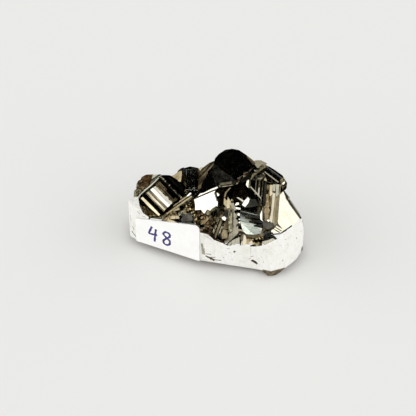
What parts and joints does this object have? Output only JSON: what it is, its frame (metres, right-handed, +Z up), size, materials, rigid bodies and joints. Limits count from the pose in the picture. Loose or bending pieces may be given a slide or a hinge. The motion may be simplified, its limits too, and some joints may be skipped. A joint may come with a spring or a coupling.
{
  "type": "pyrite cluster",
  "caption": "Hand-sized cluster of intergrown, striated metallic pyrite crystals, ground flat round its sides and flat underneath, with a small paper number label.",
  "frame": {"origin": "middle of the bounding box's bottom, on the flat bottom it rests on", "axes": "+X to the right along the cluster's length as seen from the labelled front, +Y from the labelled front to the back, +Z up"},
  "size_m": [0.0578, 0.0408, 0.0304],
  "materials": {
    "pyrite": "bright metallic lustre, mirror-like striated crystal faces, satin ground side",
    "paper": "matt white paper with violet ink digits"
  },
  "bodies": {
    "root": {"pyrite_cluster": "pyrite", "label": "paper"}
  },
  "joints": []
}
